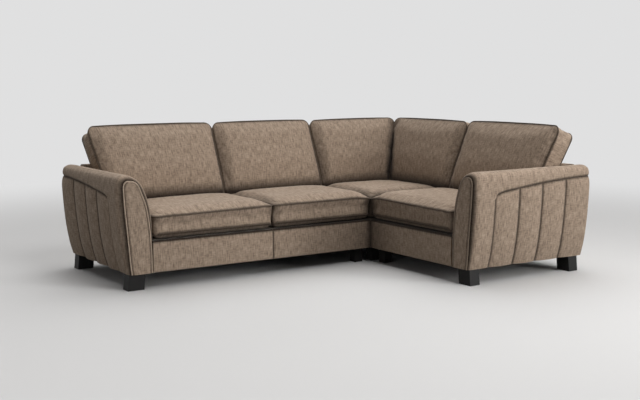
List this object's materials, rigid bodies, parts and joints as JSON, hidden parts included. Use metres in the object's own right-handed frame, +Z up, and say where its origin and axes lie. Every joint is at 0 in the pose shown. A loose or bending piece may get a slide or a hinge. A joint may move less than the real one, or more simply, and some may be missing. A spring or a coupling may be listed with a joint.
{
  "type": "corner sofa",
  "caption": "L-shaped fabric corner sofa with boxed loose seat and back cushions, channelled rolled arms, piped edges and black block feet.",
  "frame": {"origin": "on the floor, under the centre of the bounding box", "axes": "+X runs along the long run from the left arm to the corner, +Y from front to back, +Z up"},
  "size_m": [2.6544, 1.9384, 0.9],
  "materials": {
    "upholstery": "matte",
    "piping": "matte",
    "deck_cloth": "matte",
    "dust_cloth": "matte",
    "webbing": "matte",
    "timber": "matte",
    "black_feet": "satin",
    "support_feet": "satin",
    "bolts": "satin",
    "join_plates": "satin"
  },
  "bodies": {
    "carcass": {"corner_back_cover_left": "upholstery", "corner_back_cover_right": "upholstery", "corner_back_frame_left": "timber", "corner_back_frame_right": "timber", "corner_back_webbing": "webbing", "corner_base_frame": "timber", "corner_deck": "deck_cloth", "corner_dust_cover": "dust_cloth", "corner_seat_webbing": "webbing", "corner_support_foot_a": "support_feet", "corner_support_foot_b": "support_feet", "foot_bolts": "bolts", "left_arm_channels": "upholstery", "left_arm_cover": "upholstery", "left_arm_front_panel": "upholstery", "left_arm_piping": "piping", "left_arm_timber": "timber", "left_border": "upholstery", "left_front_foot": "black_feet", "left_rear_foot": "black_feet", "long_back_cover": "upholstery", "long_back_frame": "timber", "long_back_webbing": "webbing", "long_base_frame": "timber", "long_deck": "deck_cloth", "long_dust_cover": "dust_cloth", "long_join_plates": "join_plates", "long_seat_webbing": "webbing", "long_support_foot_a": "support_feet", "long_support_foot_b": "support_feet", "middle_border": "upholstery", "return_back_cover": "upholstery", "return_back_frame": "timber", "return_back_webbing": "webbing", "return_base_frame": "timber", "return_border": "upholstery", "return_deck": "deck_cloth", "return_dust_cover": "dust_cloth", "return_join_plates": "join_plates", "return_seat_webbing": "webbing", "return_support_foot_a": "support_feet", "return_support_foot_b": "support_feet", "right_arm_channels": "upholstery", "right_arm_cover": "upholstery", "right_arm_front_panel": "upholstery", "right_arm_piping": "piping", "right_arm_timber": "timber", "right_front_foot": "black_feet", "right_rear_foot": "black_feet"},
    "left_seat_cushion_body": {"left_seat_cushion": "upholstery"},
    "middle_seat_cushion_body": {"middle_seat_cushion": "upholstery"},
    "corner_seat_cushion_body": {"corner_seat_cushion": "upholstery"},
    "right_seat_cushion_body": {"right_seat_cushion": "upholstery"},
    "left_back_cushion_body": {"left_back_cushion": "upholstery"},
    "middle_back_cushion_body": {"middle_back_cushion": "upholstery"},
    "corner_back_cushion_left_body": {"corner_back_cushion_left": "upholstery"},
    "corner_back_cushion_right_body": {"corner_back_cushion_right": "upholstery"},
    "right_back_cushion_body": {"right_back_cushion": "upholstery"}
  },
  "joints": [
    {"name": "left_seat_cushion_lift", "type": "slide", "parent": "carcass", "child": "left_seat_cushion_body", "axis": [0, 0, 1], "range_m": [0, 0.35]},
    {"name": "middle_seat_cushion_lift", "type": "slide", "parent": "carcass", "child": "middle_seat_cushion_body", "axis": [0, 0, 1], "range_m": [0, 0.35]},
    {"name": "corner_seat_cushion_lift", "type": "slide", "parent": "carcass", "child": "corner_seat_cushion_body", "axis": [0, 0, 1], "range_m": [0, 0.35]},
    {"name": "right_seat_cushion_lift", "type": "slide", "parent": "carcass", "child": "right_seat_cushion_body", "axis": [0, 0, 1], "range_m": [0, 0.35]},
    {"name": "left_back_cushion_lift", "type": "slide", "parent": "carcass", "child": "left_back_cushion_body", "axis": [0, 0.3907, 0.9205], "range_m": [0, 0.4]},
    {"name": "middle_back_cushion_lift", "type": "slide", "parent": "carcass", "child": "middle_back_cushion_body", "axis": [0, 0.3907, 0.9205], "range_m": [0, 0.4]},
    {"name": "corner_back_cushion_left_lift", "type": "slide", "parent": "carcass", "child": "corner_back_cushion_left_body", "axis": [0, 0.3907, 0.9205], "range_m": [0, 0.4]},
    {"name": "corner_back_cushion_right_lift", "type": "slide", "parent": "carcass", "child": "corner_back_cushion_right_body", "axis": [0.3907, 0, 0.9205], "range_m": [0, 0.4]},
    {"name": "right_back_cushion_lift", "type": "slide", "parent": "carcass", "child": "right_back_cushion_body", "axis": [0.3907, 0, 0.9205], "range_m": [0, 0.4]}
  ]
}
